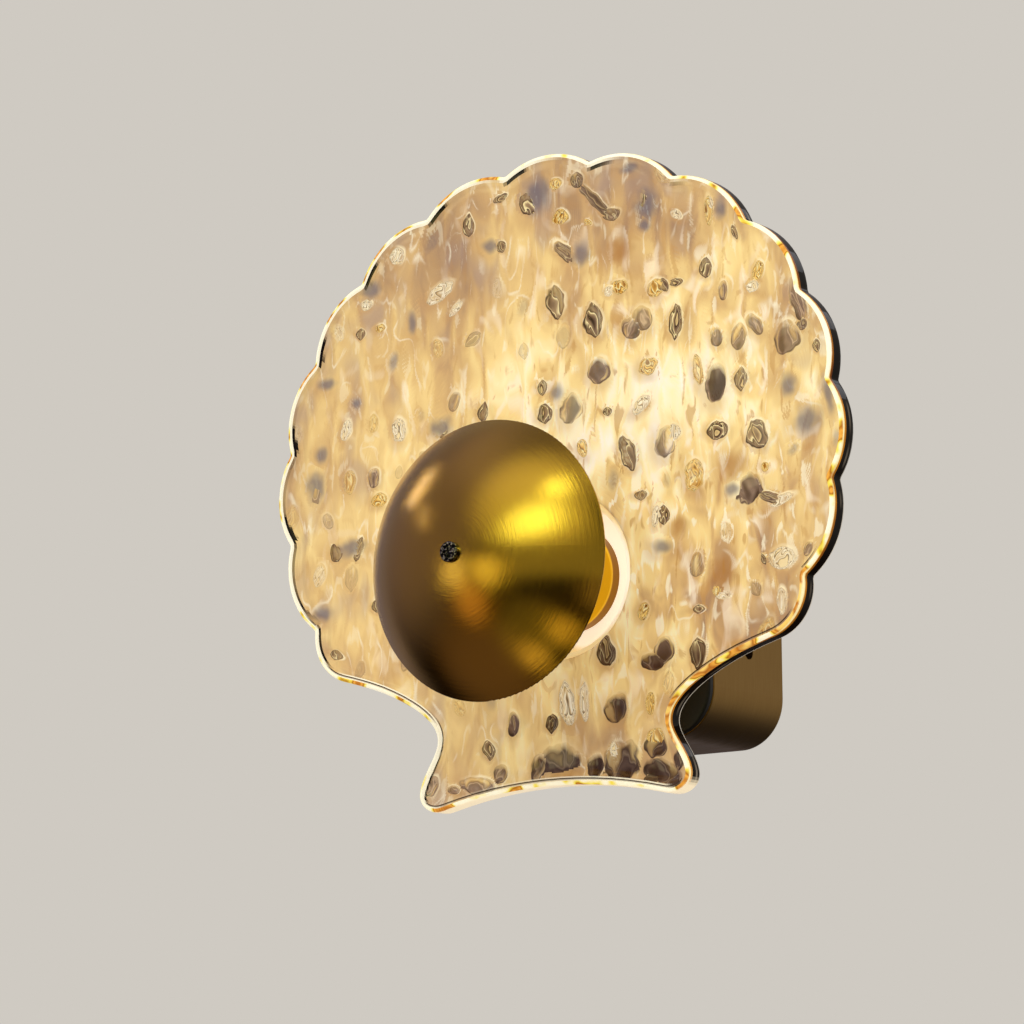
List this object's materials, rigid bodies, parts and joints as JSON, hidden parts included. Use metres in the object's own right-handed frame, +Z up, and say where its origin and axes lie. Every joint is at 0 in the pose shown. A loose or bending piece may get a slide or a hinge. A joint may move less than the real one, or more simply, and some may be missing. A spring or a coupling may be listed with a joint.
{
  "type": "plug in night light",
  "caption": "Plug-in night light: scallop-shaped hammered clear acrylic panel on a brass-sleeved plug body, LED diffuser cup behind a small spun brass dome on a stem, slide switch on the side.",
  "frame": {"origin": "on the wall plane, midway between the two plug blades", "axes": "+Y into the wall, +Z up, the lamp faces -Y and +X is the viewer's right; the lamp axis runs along Y, 11.4 mm above the blades"},
  "size_m": [0.1213, 0.0813, 0.1165],
  "materials": {
    "acrylic": "clear cast acrylic, hammered faces, polished edge",
    "spun_brass": "spun satin brass, lacquered",
    "sleeve_brass": "satin anodised brass colour",
    "polished_brass": "turned and polished",
    "black_plastic": "moulded black ABS, fine texture",
    "opal_plastic": "white opal diffuser, lit",
    "blade_nickel": "nickel-plated brass",
    "steel": "zinc-plated steel",
    "circuit_board": "green solder mask",
    "white_board": "white-coated aluminium board",
    "led": "phosphor-coated LED, lit",
    "silicone": "translucent white silicone",
    "component_black": "moulded epoxy",
    "film_yellow": "yellow moulded case",
    "can_aluminium": "sleeved aluminium can",
    "ferrite": "ferrite drum with enamelled winding",
    "lead_copper": "insulated hook-up wire"
  },
  "bodies": {
    "lamp": {"body_sleeve": "sleeve_brass", "rear_cover": "black_plastic", "front_cover": "black_plastic", "cover_screws": "steel", "blade_live": "blade_nickel", "blade_neutral": "blade_nickel", "driver_board": "circuit_board", "board_screws": "steel", "bridge_rectifier": "component_black", "film_capacitor": "film_yellow", "driver_chip": "component_black", "electrolytic_capacitor": "can_aluminium", "inductor": "ferrite", "fuse_resistor": "component_black", "switch_body": "black_plastic", "switch_frame": "steel", "led_board": "white_board", "led_chips": "led", "led_leads": "lead_copper", "led_diffuser": "opal_plastic", "panel_gasket": "silicone", "shell_panel": "acrylic", "stem_flange": "polished_brass", "dome_stem": "polished_brass", "stem_washer": "steel", "stem_nut": "steel", "dome_shade": "spun_brass", "dome_screw": "steel"},
    "knob": {"switch_knob": "black_plastic"}
  },
  "joints": [
    {"name": "switch_slide", "type": "slide", "parent": "lamp", "child": "knob", "axis": [0, 0, -1], "range_m": [0, 0.0036]}
  ]
}
